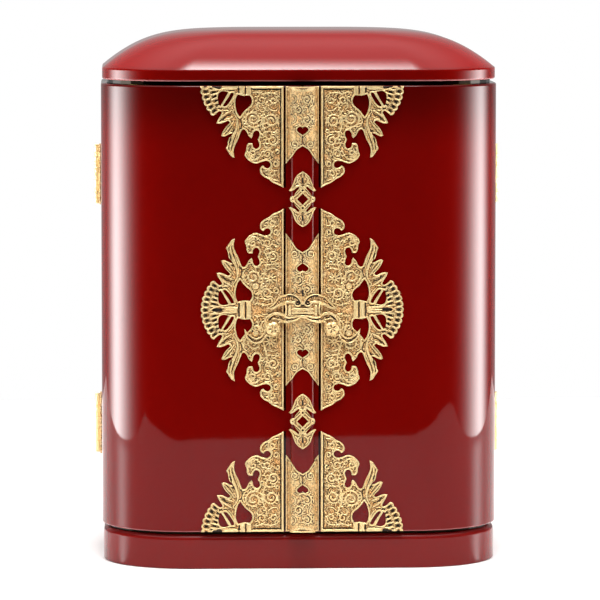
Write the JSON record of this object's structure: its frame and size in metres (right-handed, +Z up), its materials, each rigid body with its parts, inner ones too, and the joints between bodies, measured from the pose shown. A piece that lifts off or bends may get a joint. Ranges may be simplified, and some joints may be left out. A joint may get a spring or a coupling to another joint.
{
  "type": "miniature buddhist shrine",
  "caption": "Lacquered portable shrine case with rounded corners, a cushioned roof, two curved hinged doors, a seam strip and gilt openwork fittings.",
  "frame": {"origin": "centre of the base's flat underside", "axes": "+Z up, the doors face -Y, +X to the viewer's right"},
  "size_m": [0.2634, 0.1871, 0.342],
  "materials": {
    "lacquer": "polished dark red lacquer on wood",
    "gilt_metal": "gilt brass sheet, engraved and openworked",
    "gold_leaf": "gold leaf on lacquered wood"
  },
  "bodies": {
    "case": {"base": "lacquer", "roof": "lacquer", "floor_board": "gold_leaf", "ceiling_board": "gold_leaf", "back_shell": "lacquer", "hinge_shell_left_upper": "gilt_metal", "hinge_shell_left_lower": "gilt_metal", "hinge_shell_right_upper": "gilt_metal", "hinge_shell_right_lower": "gilt_metal"},
    "right_leaf": {"door_right": "lacquer", "seam_strip": "lacquer", "cap_top": "gilt_metal", "cap_middle": "gilt_metal", "cap_bottom": "gilt_metal", "diamond_upper": "gilt_metal", "diamond_lower": "gilt_metal", "fitting_top_right": "gilt_metal", "fitting_middle_right": "gilt_metal", "fitting_bottom_right": "gilt_metal", "clasp": "gilt_metal", "flower_left": "gilt_metal", "flower_right": "gilt_metal", "hinge_door_right_upper": "gilt_metal", "hinge_door_right_lower": "gilt_metal"},
    "left_leaf": {"door_left": "lacquer", "fitting_top_left": "gilt_metal", "fitting_middle_left": "gilt_metal", "fitting_bottom_left": "gilt_metal", "hinge_door_left_upper": "gilt_metal", "hinge_door_left_lower": "gilt_metal"}
  },
  "joints": [
    {"name": "right_door_hinge", "type": "hinge", "parent": "case", "child": "right_leaf", "pos_m": [0.1296, 0, 0.0237], "axis": [0, 0, 1], "range_deg": [0, 160]},
    {"name": "left_door_hinge", "type": "hinge", "parent": "case", "child": "left_leaf", "pos_m": [-0.1296, 0, 0.0237], "axis": [0, 0, -1], "range_deg": [0, 160]}
  ],
  "couplings": [
    {"joint": "left_door_hinge", "follows": "right_door_hinge", "ratio": 1}
  ]
}
